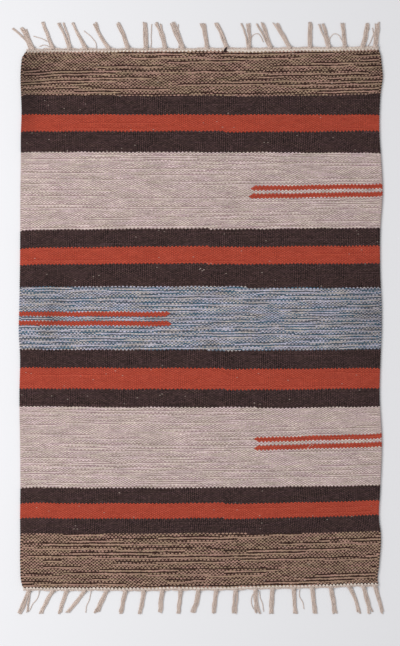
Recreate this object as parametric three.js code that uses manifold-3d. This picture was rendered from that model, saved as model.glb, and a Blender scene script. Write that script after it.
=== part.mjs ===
// A flat-woven kilim rug, 600 x 890 mm of cloth, with a knotted warp fringe at both ends.
// Millimetres. X runs across the rug, Y along it and Z up. The origin is the middle of the underside.
//
// Three solids: the woven cloth with its warp ribs, and at each end a header strip with its fringe.
// Everything is level with z = 0, where the rug lies on the floor.

import * as THREE from "three";
import { mergeVertices } from "three/addons/utils/BufferGeometryUtils.js";
import Module from "manifold-3d";

const wasm = await Module();
wasm.setup();

// Cloth
const CLOTH_WIDTH = 600;
const WARP_ENDS = 196;
const RIB_CREST = 4.0;
const RIB_VALLEY = 3.35;
const SELVEDGE_ROUNDING = 1.1;
const SELVEDGE_HEIGHT = 1.7;
const TOP_UNEVENNESS = 0.2;
const CUT_MARGIN = 20;

// Header strip, parted from the cloth's edge
const PART_GAP = 0.3;
const HEADER_DEPTH = 4.4;
const HEADER_HEIGHT = 2.6;
const HEADER_EDGE_HEIGHT = 1.6;
const HEADER_CHAMFER = 0.9;

// Fringe: the warp ends are gathered into knots, and each tassel is a row of locks that lie on the floor
const KNOT_WIDTH = 8.4;
const KNOT_DEPTH = 6.0;
const KNOT_HEIGHT = 5.6;
const KNOT_OFFSET = 1.4;
const KNOT_SIDES = 6;
const LOCKS_PER_TASSEL = 4;
const LOCK_PITCH = 2.05;
const LOCK_WIDTH = 1.65;
const LOCK_HEIGHT = 1.5;
const LOCK_STEPS = 2;
const TIP_TAPER = 0.8;
const TIP_SCATTER = 2.2;

// The cloth's side edges, from past the south end to past the north end. Columns: y, left edge, right edge.
const SECTIONS = [
  { y: -452.0, left: -294.7, right: 296.7 },
  { y: -421.0, left: -299.5, right: 296.0 },
  { y: -201.0, left: -299.8, right: 301.2 },
  { y: -124.5, left: -300.8, right: 297.6 },
  { y: -1.7, left: -301.5, right: 301.2 },
  { y: 131.0, left: -299.4, right: 298.4 },
  { y: 214.5, left: -299.2, right: 302.4 },
  { y: 344.0, left: -297.6, right: 297.6 },
  { y: 432.0, left: -297.2, right: 300.4 },
  { y: 452.0, left: -285.1, right: 295.3 },
];

// The cloth's two end edges. Columns: share of the width from the left, y of the south edge, y of the
// north edge. The north edge has a step where one weft ends.
const END_EDGES = [
  { share: 0, south: -446.2, north: 443.2 },
  { share: 0.11, south: -446.2, north: 443.8 },
  { share: 0.28, south: -446.6, north: 443.8 },
  { share: 0.39, south: -446.0, north: 443.8 },
  { share: 0.5, south: -445.0, north: 444.9 },
  { share: 0.565, south: -445.0, north: 445.4 },
  { share: 0.6, south: -444.9, north: 443.3 },
  { share: 0.67, south: -444.6, north: 444.0 },
  { share: 0.78, south: -442.6, north: 444.8 },
  { share: 0.89, south: -439.7, north: 445.4 },
  { share: 1, south: -439.6, north: 445.6 },
];

// Tassels from left to right. Columns: x of the knot, x of the tip, how far the middle of the tassel
// bows off the straight line, and how many times wider the tassel is at its tip than at its knot.
const NORTH_TASSELS = [
  { root: -279.0, tip: -291.5, bow: 0, flare: 1.8 },
  { root: -245.8, tip: -262.1, bow: 0, flare: 1.15 },
  { root: -217.6, tip: -232.3, bow: 1.0, flare: 1.4 },
  { root: -191.0, tip: -213.1, bow: 0, flare: 1.1 },
  { root: -152.4, tip: -176.2, bow: -5.0, flare: 1.1 },
  { root: -121.2, tip: -136.8, bow: 1.0, flare: 1.2 },
  { root: -90.7, tip: -92.2, bow: 0, flare: 1.3 },
  { root: -59.0, tip: -71.3, bow: 1.0, flare: 1.9 },
  { root: -29.4, tip: -47.2, bow: 0, flare: 1.2 },
  { root: 10.6, tip: 3.3, bow: 0, flare: 1.1 },
  { root: 43.2, tip: 24.1, bow: -3.0, flare: 1.2 },
  { root: 80.3, tip: 74.0, bow: 1.5, flare: 2.0 },
  { root: 115.8, tip: 98.9, bow: 0, flare: 1.7 },
  { root: 147.6, tip: 124.8, bow: 0, flare: 1.1 },
  { root: 181.8, tip: 181.8, bow: 0, flare: 1.1 },
  { root: 212.9, tip: 199.6, bow: 1.0, flare: 1.7 },
  { root: 239.7, tip: 235.2, bow: 0.5, flare: 1.2 },
  { root: 269.4, tip: 278.2, bow: 1.0, flare: 1.1 },
  { root: 290.6, tip: 293.6, bow: 0, flare: 1.1 },
];
const SOUTH_TASSELS = [
  { root: -285.0, tip: -295.5, bow: 0, flare: 1.9 },
  { root: -245.3, tip: -265.4, bow: -1.0, flare: 1.2 },
  { root: -222.4, tip: -235.0, bow: 0, flare: 1.1 },
  { root: -192.5, tip: -221.0, bow: 1.0, flare: 1.0 },
  { root: -156.1, tip: -173.8, bow: 0, flare: 1.2 },
  { root: -125.0, tip: -132.3, bow: 0, flare: 1.1 },
  { root: -94.6, tip: -100.9, bow: 0.5, flare: 1.2 },
  { root: -63.5, tip: -67.3, bow: 0, flare: 1.2 },
  { root: -33.1, tip: -37.6, bow: 0, flare: 1.1 },
  { root: -3.5, tip: -13.1, bow: 1.0, flare: 1.1 },
  { root: 26.3, tip: 21.8, bow: 0, flare: 1.2 },
  { root: 58.8, tip: 56.2, bow: 0, flare: 1.1 },
  { root: 91.4, tip: 95.0, bow: -1.0, flare: 1.9 },
  { root: 119.7, tip: 116.7, bow: 0, flare: 1.1 },
  { root: 155.1, tip: 157.2, bow: 0, flare: 1.2 },
  { root: 185.5, tip: 190.6, bow: 0, flare: 1.1 },
  { root: 216.7, tip: 224.0, bow: 0, flare: 1.2 },
  { root: 247.3, tip: 263.6, bow: 2.0, flare: 1.1 },
  { root: 270.7, tip: 281.7, bow: 0, flare: 1.1 },
  { root: 290.0, tip: 302.4, bow: 0, flare: 1.1 },
];

// Lone warp ends that missed their knot. Columns: x at the header, x of the tip, bow, y of the tip.
const NORTH_LONE_ENDS = [
  { root: -286.0, tip: -313.0, bow: -1.5, reach: 493 },
  { root: -171.5, tip: -194.0, bow: 0, reach: 479 },
];
const SOUTH_LONE_ENDS = [
  { root: -268.5, tip: -279.0, bow: 2.0, reach: -486 },
  { root: -182.0, tip: -192.5, bow: 1.0, reach: -488 },
  { root: 166.0, tip: 172.0, bow: 1.5, reach: -484 },
];

// The two ends. outward is the sense of Y that the fringe points in.
const NORTH = { outward: 1, edge: "north", reach: 492.5 };
const SOUTH = { outward: -1, edge: "south", reach: -489.0 };

// Reads a column of a table by straight lines between its rows.
function column(table, by, name, value) {
  const after = Math.max(1, table.findIndex((row) => row[by] >= value));
  const low = table[after - 1];
  const high = table[after];
  return THREE.MathUtils.mapLinear(value, low[by], high[by], low[name], high[name]);
}

// A fixed, even scatter from -1 to 1 for the nth of many like things.
function scatter(n) {
  const golden = 0.61803398875;
  return 2 * ((n * golden) % 1) - 1;
}

// The X of a place on the cloth, from its share of the width and its Y.
function clothX(share, y) {
  const left = column(SECTIONS, "y", "left", y);
  const right = column(SECTIONS, "y", "right", y);
  return THREE.MathUtils.lerp(left, right, share);
}

// A point on an end edge of the cloth.
function edgePoint(end, row) {
  return new THREE.Vector2(clothX(row.share, row[end.edge]), row[end.edge]);
}

// The Y of the header's outer edge at a given X.
function headerEdge(end, x) {
  const edge = END_EDGES.map((row) => edgePoint(end, row));
  return column(edge, "x", "y", x) + end.outward * (PART_GAP + HEADER_DEPTH);
}

// Moves each point of a geometry to where the function puts it.
function reshaped(geometry, place) {
  const points = geometry.attributes.position;
  const point = new THREE.Vector3();
  for (let i = 0; i < points.count; i++) {
    point.fromBufferAttribute(points, i);
    place(point);
    points.setXYZ(i, point.x, point.y, point.z);
  }
  geometry.computeVertexNormals();
  return geometry;
}

// A closed geometry as a solid that can be joined or cut, and back again.
function solid(geometry) {
  const bare = geometry.index ? geometry.toNonIndexed() : geometry.clone();
  bare.deleteAttribute("normal");
  bare.deleteAttribute("uv");
  const merged = mergeVertices(bare, 1e-4);
  return new wasm.Manifold(
    new wasm.Mesh({
      numProp: 3,
      vertProperties: merged.attributes.position.array,
      triVerts: new Uint32Array(merged.index.array),
    }),
  );
}

function geometryOf(made) {
  const mesh = made.getMesh();
  const geometry = new THREE.BufferGeometry();
  geometry.setAttribute("position", new THREE.BufferAttribute(mesh.vertProperties, 3));
  geometry.setIndex(new THREE.BufferAttribute(mesh.triVerts, 1));
  geometry.computeVertexNormals();
  return geometry;
}

// The slow rise and fall of the cloth's top.
function unevenness(x, y) {
  return TOP_UNEVENNESS * Math.sin(x / 47 + y / 130) * Math.cos(y / 83 - x / 210);
}

// The cloth's cross-section: a flat underside, rounded selvedges, and a rib over each warp end.
function clothSection() {
  const half = CLOTH_WIDTH / 2;
  const pitch = CLOTH_WIDTH / WARP_ENDS;
  const section = new THREE.Shape();
  section.moveTo(-half, 0);
  section.lineTo(half, 0);
  section.lineTo(half + SELVEDGE_ROUNDING, SELVEDGE_HEIGHT);
  section.lineTo(half, RIB_VALLEY);
  for (let end = WARP_ENDS - 1; end >= 0; end--) {
    section.lineTo(-half + (end + 0.5) * pitch, RIB_CREST);
    section.lineTo(-half + end * pitch, RIB_VALLEY);
  }
  section.lineTo(-half - SELVEDGE_ROUNDING, SELVEDGE_HEIGHT);
  return section;
}

// The ribbed slab, whose sides and ribs follow the selvedges. It runs past both end edges.
function ribbedSlab() {
  const steps = SECTIONS.length - 1;
  const slab = new THREE.ExtrudeGeometry(clothSection(), { depth: steps, steps, bevelEnabled: false });
  return reshaped(slab, (point) => {
    const { y } = SECTIONS[steps - Math.round(point.z)];
    const across = point.x / CLOTH_WIDTH + 0.5;
    const share = THREE.MathUtils.clamp(across, 0, 1);
    const x = clothX(share, y) + (across - share) * CLOTH_WIDTH;
    const rise = point.y > SELVEDGE_HEIGHT ? unevenness(x, y) : 0;
    point.set(x, y, point.y + rise);
  });
}

// What lies between the two end edges, wider and taller than the cloth.
function betweenEnds() {
  const past = CLOTH_WIDTH / 2 + CUT_MARGIN;
  const north = END_EDGES.map((row) => edgePoint(NORTH, row)).reverse();
  const south = END_EDGES.map((row) => edgePoint(SOUTH, row));
  const plan = new THREE.Shape([
    new THREE.Vector2(-past, south[0].y),
    ...south,
    new THREE.Vector2(past, south.at(-1).y),
    new THREE.Vector2(past, north[0].y),
    ...north,
    new THREE.Vector2(-past, north.at(-1).y),
  ]);
  const height = RIB_CREST + 2 * CUT_MARGIN;
  const block = new THREE.ExtrudeGeometry(plan, { depth: height, bevelEnabled: false });
  block.translate(0, 0, -CUT_MARGIN);
  return block;
}

function cloth() {
  return geometryOf(solid(ribbedSlab()).intersect(solid(betweenEnds())));
}

// Header: a low strip that follows the end edge of the cloth.
function headerStrip(end) {
  const inner = PART_GAP;
  const outer = PART_GAP + HEADER_DEPTH;
  const section = new THREE.Shape();
  section.moveTo(inner, 0);
  section.lineTo(outer, 0);
  section.lineTo(outer, HEADER_EDGE_HEIGHT);
  section.lineTo(outer - HEADER_CHAMFER, HEADER_HEIGHT);
  section.lineTo(inner, HEADER_HEIGHT);
  const steps = END_EDGES.length - 1;
  const strip = new THREE.ExtrudeGeometry(section, { depth: steps, steps, bevelEnabled: false });
  return reshaped(strip, (point) => {
    const row = Math.round(end.outward > 0 ? point.z : steps - point.z);
    const edge = edgePoint(end, END_EDGES[row]);
    point.set(edge.x, edge.y + end.outward * point.x, point.y);
  });
}

// Knot: a low dome with a flat foot.
function knot(end, x) {
  const profile = [
    new THREE.Vector2(0, 0),
    new THREE.Vector2(0.5, 0),
    new THREE.Vector2(0.44, 0.66),
    new THREE.Vector2(0, 1),
  ];
  const dome = new THREE.LatheGeometry(profile, KNOT_SIDES);
  dome.rotateX(Math.PI / 2);
  dome.scale(KNOT_WIDTH, KNOT_DEPTH, KNOT_HEIGHT);
  dome.translate(x, headerEdge(end, x) + end.outward * KNOT_OFFSET, 0);
  return dome;
}

// Lock: a tapering three-sided strand that lies on one face. It runs from its root to its tip beside
// the middle line of its tassel, offset by so much at the root and so much at the tip.
function lock(root, tip, bow, rootOffset, tipOffset) {
  const across = new THREE.Vector2(tip.y - root.y, root.x - tip.x).normalize();
  if (across.x < 0) across.negate();
  const section = new THREE.Shape();
  section.moveTo(-LOCK_WIDTH / 2, 0);
  section.lineTo(LOCK_WIDTH / 2, 0);
  section.lineTo(0, LOCK_HEIGHT);
  const steps = LOCK_STEPS;
  const strand = new THREE.ExtrudeGeometry(section, { depth: steps, steps, bevelEnabled: false });
  const southward = tip.y < root.y;
  return reshaped(strand, (point) => {
    const along = southward ? point.z / steps : 1 - point.z / steps;
    const taper = THREE.MathUtils.lerp(1, TIP_TAPER, along);
    const offset = THREE.MathUtils.lerp(rootOffset, tipOffset, along) + point.x * taper;
    const bowed = bow * Math.sin(Math.PI * along);
    const x = THREE.MathUtils.lerp(root.x, tip.x, along) + bowed + offset * across.x;
    const y = THREE.MathUtils.lerp(root.y, tip.y, along) + offset * across.y;
    point.set(x, y, point.y * taper);
  });
}

function tassel(end, row, number) {
  const root = new THREE.Vector2(row.root, headerEdge(end, row.root) + end.outward * KNOT_OFFSET);
  const locks = [];
  for (let i = 0; i < LOCKS_PER_TASSEL; i++) {
    const offset = (i - (LOCKS_PER_TASSEL - 1) / 2) * LOCK_PITCH;
    const loose = end.outward * TIP_SCATTER * scatter(number * LOCKS_PER_TASSEL + i + 1);
    const tip = new THREE.Vector2(row.tip, end.reach + loose);
    locks.push(lock(root, tip, row.bow, offset, offset * row.flare));
  }
  return [knot(end, row.root), ...locks];
}

function loneEnd(end, row) {
  const root = new THREE.Vector2(row.root, headerEdge(end, row.root) - end.outward * HEADER_DEPTH / 2);
  return lock(root, new THREE.Vector2(row.tip, row.reach), row.bow, 0, 0);
}

function fringe(end, tassels, loneEnds) {
  const parts = [
    headerStrip(end),
    ...tassels.flatMap((row, number) => tassel(end, row, number)),
    ...loneEnds.map((row) => loneEnd(end, row)),
  ];
  return geometryOf(parts.map(solid).reduce((sum, next) => sum.add(next)));
}

const wovenCotton = new THREE.MeshStandardMaterial({ color: 0x8a7268, roughness: 0.95, metalness: 0 });
const undyedCotton = new THREE.MeshStandardMaterial({ color: 0xbcaea6, roughness: 0.95, metalness: 0 });

function named(name, geometry, material) {
  const mesh = new THREE.Mesh(geometry, material);
  mesh.name = name;
  return mesh;
}

const rug = new THREE.Group();
rug.add(
  named("woven_cloth", cloth(), wovenCotton),
  named("fringe_north", fringe(NORTH, NORTH_TASSELS, NORTH_LONE_ENDS), undyedCotton),
  named("fringe_south", fringe(SOUTH, SOUTH_TASSELS, SOUTH_LONE_ENDS), undyedCotton),
);

export default rug;
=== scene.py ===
"""A flat-woven kilim rug on a plain pale floor.

The frame holds the rug's solids. Here its cloth is woven again as fine relief, float by float, and
its fringe is spun from two-ply yarns. Lengths in the tables are millimetres, and the meshes are in
metres. X runs across the rug, Y along it to the north end, and Z up.
"""

import math
from collections import namedtuple
from functools import partialmethod

import bpy
import numpy as np
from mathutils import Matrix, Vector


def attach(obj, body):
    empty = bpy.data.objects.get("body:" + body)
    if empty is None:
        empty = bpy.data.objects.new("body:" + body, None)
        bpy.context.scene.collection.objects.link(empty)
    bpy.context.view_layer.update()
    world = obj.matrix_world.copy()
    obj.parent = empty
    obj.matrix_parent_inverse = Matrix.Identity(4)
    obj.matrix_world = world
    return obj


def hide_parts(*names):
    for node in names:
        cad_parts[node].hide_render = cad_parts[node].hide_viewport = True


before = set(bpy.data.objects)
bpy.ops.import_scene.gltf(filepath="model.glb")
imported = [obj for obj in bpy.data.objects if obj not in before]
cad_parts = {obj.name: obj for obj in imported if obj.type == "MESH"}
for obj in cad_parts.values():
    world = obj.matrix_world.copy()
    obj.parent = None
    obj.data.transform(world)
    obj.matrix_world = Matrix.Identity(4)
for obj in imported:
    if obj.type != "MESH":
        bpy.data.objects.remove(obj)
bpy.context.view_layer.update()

MM = 0.001

# The weaving plan, from the north end to the south end. Columns: the yarn, the number of picks, the
# Y of the row's south edge at the left, in the middle and at the right, and the X past which the
# colour change comes one pick later, where the weft was joined in mid-row.
Stripe = namedtuple("Stripe", "yarn picks left middle right join", defaults=(None,))
NORTH_EDGE = Stripe("cream", 0, 443.4, 445.1, 448.4, 41)
STRIPES = [
    Stripe("tweed", 31, 371.2, 371.4, 375.3, 41),
    Stripe("brown", 17, 339.5, 339.2, 339.0),
    Stripe("rust", 15, 311.7, 312.1, 314.1, 41),
    Stripe("brown", 19, 277.2, 276.8, 275.8),
    Stripe("beige", 32, 220.2, 220.3, 223.8),
    Stripe("beige", 11, 199.5, 199.6, 202.9),
    Stripe("beige", 28, 148.0, 150.7, 153.0, 11),
    Stripe("brown", 16, 118.1, 121.0, 123.4, 11),
    Stripe("rust", 15, 90.5, 92.6, 94.0, 11),
    Stripe("brown", 21, 53.6, 54.0, 54.2, 74),
    Stripe("blue", 19, 12.2, 12.0, 13.4),
    Stripe("blue", 12, -10.3, -11.3, -9.9),
    Stripe("blue", 18, -50.3, -50.9, -48.6, 11),
    Stripe("brown", 17, -80.4, -81.5, -80.0, 41),
    Stripe("rust", 19, -115.3, -116.2, -113.3, 41),
    Stripe("brown", 16, -145.0, -146.7, -144.4, 91),
    Stripe("beige", 29, -196.3, -197.5, -191.5),
    Stripe("beige", 11, -217.0, -218.8, -213.0),
    Stripe("beige", 35, -279.9, -279.8, -276.7),
    Stripe("brown", 14, -305.6, -305.6, -300.5, 41),
    Stripe("rust", 14, -330.4, -330.7, -324.3, 41),
    Stripe("brown", 14, -356.5, -355.9, -351.4, 74),
    Stripe("tweed", 35, -445.9, -445.5, -439.7),
]
# How far from the middle the plan's left and right columns are, and how many picks it runs on past
# both of its ends.
STATION = 265
RUN_ON = 4
PICKS = sum(stripe.picks for stripe in STRIPES)
THICK_YARNS = ("tweed", "blue")

# The short inset lines of rust. Columns: the stripe row they start in, picks from that row's north
# edge, first and last X, how many warps shorter each outer pick is, and how many more the north
# picks are.
Inset = namedtuple("Inset", "row skip west east point lag")
INSET_PICKS = 4
INSETS = [
    Inset(5, 0, 82, 320, 0, 1.7),
    Inset(5, 7, 81, 320, 1, 0),
    Inset(11, 0, -320, -53, 1, 0),
    Inset(11, 8, -320, -51, 1, 0),
    Inset(17, 0, 90, 320, 1, 0),
    Inset(17, 7, 89, 320, 1, 0),
]

# The side edges. Columns: Y, X of the left selvedge, X of the right selvedge.
Sides = namedtuple("Sides", "y left right")
SIDES = [
    Sides(-448.7, -294.5, 297.2),
    Sides(-433.8, -298.3, 294.3),
    Sides(-410.5, -299.5, 296.5),
    Sides(-354.0, -299.5, 299.3),
    Sides(-334.1, -299.7, 296.7),
    Sides(-284.2, -299.3, 298.5),
    Sides(-201.1, -299.8, 301.3),
    Sides(-124.7, -300.8, 297.5),
    Sides(-61.5, -299.8, 299.2),
    Sides(-18.3, -302.0, 300.8),
    Sides(15.0, -301.1, 301.0),
    Sides(81.4, -300.0, 298.5),
    Sides(144.6, -299.5, 298.5),
    Sides(214.4, -299.2, 302.5),
    Sides(264.3, -298.5, 300.2),
    Sides(304.1, -298.5, 297.5),
    Sides(344.0, -297.3, 297.5),
    Sides(374.0, -298.2, 299.2),
    Sides(403.9, -299.0, 302.8),
    Sides(423.8, -297.8, 301.0),
    Sides(435.4, -295.8, 299.7),
    Sides(442.1, -291.3, 298.0),
    Sides(447.1, -288.0, 296.0),
]

# The cloth. A rib runs over each warp, and a float is a weft's way over one warp.
HALF_WIDTH = 300
WARP_ENDS = 196
WARP_PITCH = 2 * HALF_WIDTH / WARP_ENDS
CLOSER_SIDES = 0.0075
RIB_CREST = 4.0
RIB_VALLEY = 3.35
RIB_FULLNESS = 0.8
STRAND_GROOVE = 0.10
FLOAT_GROOVE = 0.30
FLOAT_GROOVE_CURVE = 3
VALLEY_GROOVE = 0.12
ROUGHNESS = 0.035
SELVEDGE_LIFT = 1.9
SELVEDGE_FOOT = 0.35
SELVEDGE_SHOULDER = 0.18
SELVEDGE_SCALLOP = 0.45
SELVEDGE_TURN = 1.3
SELVEDGE_DROOP = 0.9
DROOP_REACH = 10.0
BAND_SAG = 5.0
BAND_SAG_REACH = 85.0
# Where across its width the underside has points
UNDERSIDE_SHARES = (0.002, 0.004, 0.02, 0.1, 0.3, 0.5, 0.7, 0.9, 0.98, 0.996, 0.998)
CLOTH_PIECES = 6
BAKE_MARGIN = 0.01

# Waves in the lie of the yarns. Columns: how far each moves it, the warps and the picks in which it
# turns by one radian, and where it starts.
Wave = namedtuple("Wave", "size warps picks start", defaults=(0,))
PICK_WAVES = (Wave(0.25, 7.3, 31), Wave(0.2, 3.1, -17, 2))
WARP_WAVES = (Wave(0.3, 23, 19), Wave(0.2, -11, 5.3))
# The slow rise and fall of the cloth's top: its height, and the lengths across and along in which
# its two waves turn by one radian.
UNEVENNESS = 0.2
HUMP_LENGTHS = (47, 130)
DIP_LENGTHS = (-210, 83)

# The fringe. Columns: X of the knot, X of the tip, how far the middle bows aside, how many times
# wider the tassel is at its tip, the gap that opens between its halves, and how much shorter it is.
Tassel = namedtuple("Tassel", "root tip bow flare split short", defaults=(0, 0))
NORTH_TASSELS = [
    Tassel(-279.0, -294.0, 0, 0.9, 3, 9),
    Tassel(-245.8, -262.1, 0, 0.6),
    Tassel(-217.6, -232.3, 1.0, 0.8, 5),
    Tassel(-191.0, -213.1, 0, 0.5),
    Tassel(-152.4, -175.0, -3.0, 0.6),
    Tassel(-121.2, -136.8, 1.0, 0.7),
    Tassel(-90.7, -92.2, 0, 1.0),
    Tassel(-59.0, -71.3, 1.5, 0.6, 6),
    Tassel(-29.4, -47.2, 0, 1.1, 2),
    Tassel(10.6, 3.3, 1.0, 1.1),
    Tassel(43.2, 25.5, 1.5, 0.8),
    Tassel(80.3, 74.0, 1.5, 1.1, 7),
    Tassel(115.8, 98.9, 0, 0.9, 6),
    Tassel(147.6, 124.8, 1.0, 1.2),
    Tassel(181.8, 181.8, 0, 1.0),
    Tassel(212.9, 199.6, 1.0, 0.7, 6),
    Tassel(239.7, 235.2, 0.5, 0.8),
    Tassel(269.4, 278.2, 1.0, 0.7),
    Tassel(290.6, 293.6, 0, 0.9),
]
SOUTH_TASSELS = [
    Tassel(-285.0, -295.5, 0, 1.6, 5),
    Tassel(-245.3, -265.4, -1.0, 0.8),
    Tassel(-222.4, -235.0, 0, 0.9),
    Tassel(-192.5, -221.0, 1.0, 0.8),
    Tassel(-156.1, -173.8, 0, 1.0),
    Tassel(-125.0, -132.3, 0, 0.7),
    Tassel(-94.6, -100.9, 0.5, 0.9),
    Tassel(-63.5, -67.3, 0, 0.9),
    Tassel(-33.1, -37.6, 0, 0.8),
    Tassel(-3.5, -13.1, 1.0, 0.9),
    Tassel(26.3, 21.8, 0, 0.8),
    Tassel(58.8, 56.2, 0, 0.9),
    Tassel(91.4, 95.0, -1.0, 0.9, 2),
    Tassel(119.7, 116.7, 0, 0.8),
    Tassel(155.1, 157.2, 0, 0.9),
    Tassel(185.5, 190.6, 0, 0.7),
    Tassel(216.7, 224.0, 0, 0.8),
    Tassel(247.3, 263.6, 2.0, 0.7),
    Tassel(270.7, 281.7, 0, 0.7),
    Tassel(290.0, 302.4, 0, 0.6),
]
# Lone strands, each with its number of yarns and the points that it passes.
Loose = namedtuple("Loose", "yarns route")
NORTH_LOOSE = [
    Loose(3, [(-284, 448), (-287, 458), (-298, 471), (-312, 483)]),
    Loose(1, [(-255, 461), (-262, 465), (-271, 468), (-278, 470)]),
    Loose(1, [(-268, 452), (-262, 455), (-252, 453), (-246, 450)]),
    Loose(1, [(-173, 449), (-174, 458), (-183, 470), (-194, 479)]),
    Loose(1, [(-83, 448), (-82, 460), (-82, 475), (-81, 490)]),
    Loose(1, [(-36, 448), (-36, 462), (-37, 476), (-37, 490)]),
    Loose(1, [(80, 452), (84, 466), (89, 473), (95, 474), (101, 468), (104, 460)]),
    Loose(1, [(214, 454), (216, 468), (222, 474), (229, 472), (235, 462), (239, 452)]),
    Loose(1, [(276, 450), (283, 462), (287, 474), (286, 484)]),
]
SOUTH_LOOSE = [
    Loose(1, [(-268, -450), (-270, -462), (-279, -474), (-285, -486)]),
    Loose(1, [(-182, -450), (-184, -464), (-189, -476), (-191, -488)]),
    Loose(1, [(90, -452), (86, -460), (84, -470), (88, -482)]),
    Loose(1, [(97, -452), (99, -462), (103, -474), (105, -486)]),
    Loose(1, [(164, -446), (165, -462), (170, -472), (172, -482)]),
]

# The end of a brown weft that stands out of the cloth at its join, its pick, and how it rises.
WEFT_TAIL = Loose(4, [(39.8, 443.4), (40.6, 445.8), (41.6, 448.1), (42.8, 450.6)])
TAIL_PICK = 35
TAIL_RISE = (3.8, 5.0, 5.2, 4.9)

# Short pale fibres that cling to the cloth.
LINT = [
    Loose(1, [(-2.2, 81.9), (-0.8, 83.6), (1.0, 84.6)]),
    Loose(1, [(2.0, 79.6), (4.2, 80.8), (7.0, 82.6)]),
    Loose(1, [(176.8, -214.7), (180.6, -211.4), (184.8, -208.2), (186.6, -209.2), (185.4, -210.3)]),
    Loose(1, [(10.6, 92.3), (11.6, 92.6), (12.6, 92.3)]),
    Loose(1, [(16.6, 92.3), (17.6, 92.6), (18.6, 92.3)]),
    Loose(1, [(-252.4, 298.2), (-251.5, 297.8), (-250.6, 298.1)]),
    Loose(1, [(-225.0, 305.5), (-224.2, 305.3), (-223.4, 305.0)]),
]
LINT_PLY_RADIUS = 0.18
LINT_PLY_OFFSET = 0.10
LINT_HEIGHT = 4.35

# The yarn of the fringe and the header
PLIES = 2
PLY_RADIUS = 0.42
PLY_OFFSET = 0.36
PLY_SIDES = 4
TWIST_PITCH = 7.0
YARN_RADIUS = PLY_RADIUS + PLY_OFFSET
YARN_STEPS = 26

# The locks of a tassel: the yarns in each, and how they lie, stray and fray
LOCK_SIZES = (3, 4, 3)
LOCK_RADII = {3: 0.85, 4: 1.05}
LOCK_PITCH = 2.3
LOCK_TURNS = 0.6
LOCK_LOOSENING = 0.5
LOCK_SIDE_CHANCE = 0.3
LOCK_DRIFT = 0.5
LOCK_TIP_DRIFT = 0.8
LOCK_WAVE = 0.45
LOCK_WAVES = (1.2, 2.4)
LOCK_LIFT = 0.8
LOCK_DEPTH = 0.55
FLARE_HASTE = 1.2
SPLIT_CURVE = 1.5
TIP_SCATTER = (-2.6, 1.04)
YARN_SCATTER = 0.8
YARN_WAVE = 0.16
YARN_WAVES = (3, 6)
ROOT_HEIGHT = 2.6
ROOT_HASTE = 4

# The knots
KNOT_WRAPS = 4
KNOT_STEPS = 13
KNOT_TURNS = 1.05
KNOT_PITCH = 1.3
KNOT_SLANT = 1.2
KNOT_LEAD = 0.6
KNOT_RADIUS = 3.3
KNOT_SCATTER = (-0.3, 0.4)
KNOT_HEIGHT = 2.75
KNOT_RISE = 1.95

# The header: warp ends that leave the cloth and turn to their knots, and undyed picks over them
HEADER_STEPS = 10
HEADER_TUCK = 1.2
HEADER_STRAIGHT = (0.5, 1.0)
HEADER_GATHER = 0.15
HEADER_BEND = 0.35
HEADER_HEIGHT = 2.0
HEADER_HEIGHTS = (0.9, 2.2)
HEADER_CLIMB = 0.6
HEADER_INSIDE_KNOT = 1.6
HEADER_PICKS = 2
HEADER_PICK_START = 0.25
HEADER_PICK_HEIGHT = 2.3
HEADER_PICK_DROP = 0.2
HEADER_PICK_WAVE = 0.85
HEADER_SAGS = (Wave(0.2, 2.3, 1), Wave(0.15, 0.9, 0.5))

# The lone yarns
LOOSE_PITCH = 1.2
LOOSE_ASIDE = (0.8, 0.6)
LOOSE_WAVE = 0.25
LOOSE_WAVE_LENGTHS = (2, 4)
LOOSE_WAVE_STARTS = (0, 6)
LOOSE_LIFT = 1.4
LOOSE_FALL = 8
LOOSE_STACK = 0.6

# The flat map of spun yarns
LANE_COLUMNS = 4
LANE_END = 0.02
LANE_EDGE = 0.1

# Each end of the cloth: which way is out, the pick rows at which its colours and its undyed picks
# end, how far beyond its colours the knots are at the left and at the right, and the Y of the tips.
End = namedtuple("End", "outward colour_row last_row knots_left knots_right reach")
NORTH = End(1, 0.5, -0.5, 6.8, 3.6, 492.5)
SOUTH = End(-1, PICKS + 0.5, PICKS + 1.5, 5.2, 5.2, -489.0)

# The weft yarns. Each lays two strands side by side, one light and one dark, and each strand's
# colour wanders between two dyes, in sRGB from 0 to 255.
Dyes = namedtuple("Dyes", "light light_too dark dark_too")
DYES = {
    "tweed": Dyes((168, 132, 119), (160, 135, 112), (57, 32, 29), (57, 39, 31)),
    "brown": Dyes((70, 51, 52), (68, 51, 48), (54, 37, 37), (52, 36, 34)),
    "rust": Dyes((180, 78, 59), (178, 75, 54), (161, 60, 45), (158, 58, 41)),
    "beige": Dyes((213, 191, 191), (210, 194, 183), (166, 140, 142), (162, 144, 134)),
    "blue": Dyes((180, 177, 195), (182, 173, 168), (67, 98, 117), (86, 86, 94)),
    "cream": Dyes((225, 213, 201), (222, 208, 198), (205, 190, 176), (208, 190, 180)),
}
# How each yarn varies. Columns: how much its tone drifts along a strand, how much single floats
# differ, how strongly painted highlight on the rib crests and painted shade in the furrows mark the
# ribs, and how often the light strand stays on the same side from one pick to the next.
Habit = namedtuple("Habit", "drift float rib alike")
HABITS = {
    "tweed": Habit(0.16, 0.18, 0.0, 0.05),
    "brown": Habit(0.14, 0.75, 0.75, 0.25),
    "rust": Habit(0.07, 0.14, 0.20, 0.25),
    "beige": Habit(0.15, 0.20, 0.06, 0.12),
    "blue": Habit(0.20, 0.20, 0.06, 0.02),
    "cream": Habit(0.05, 0.10, 0.0, 0.0),
}
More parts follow.
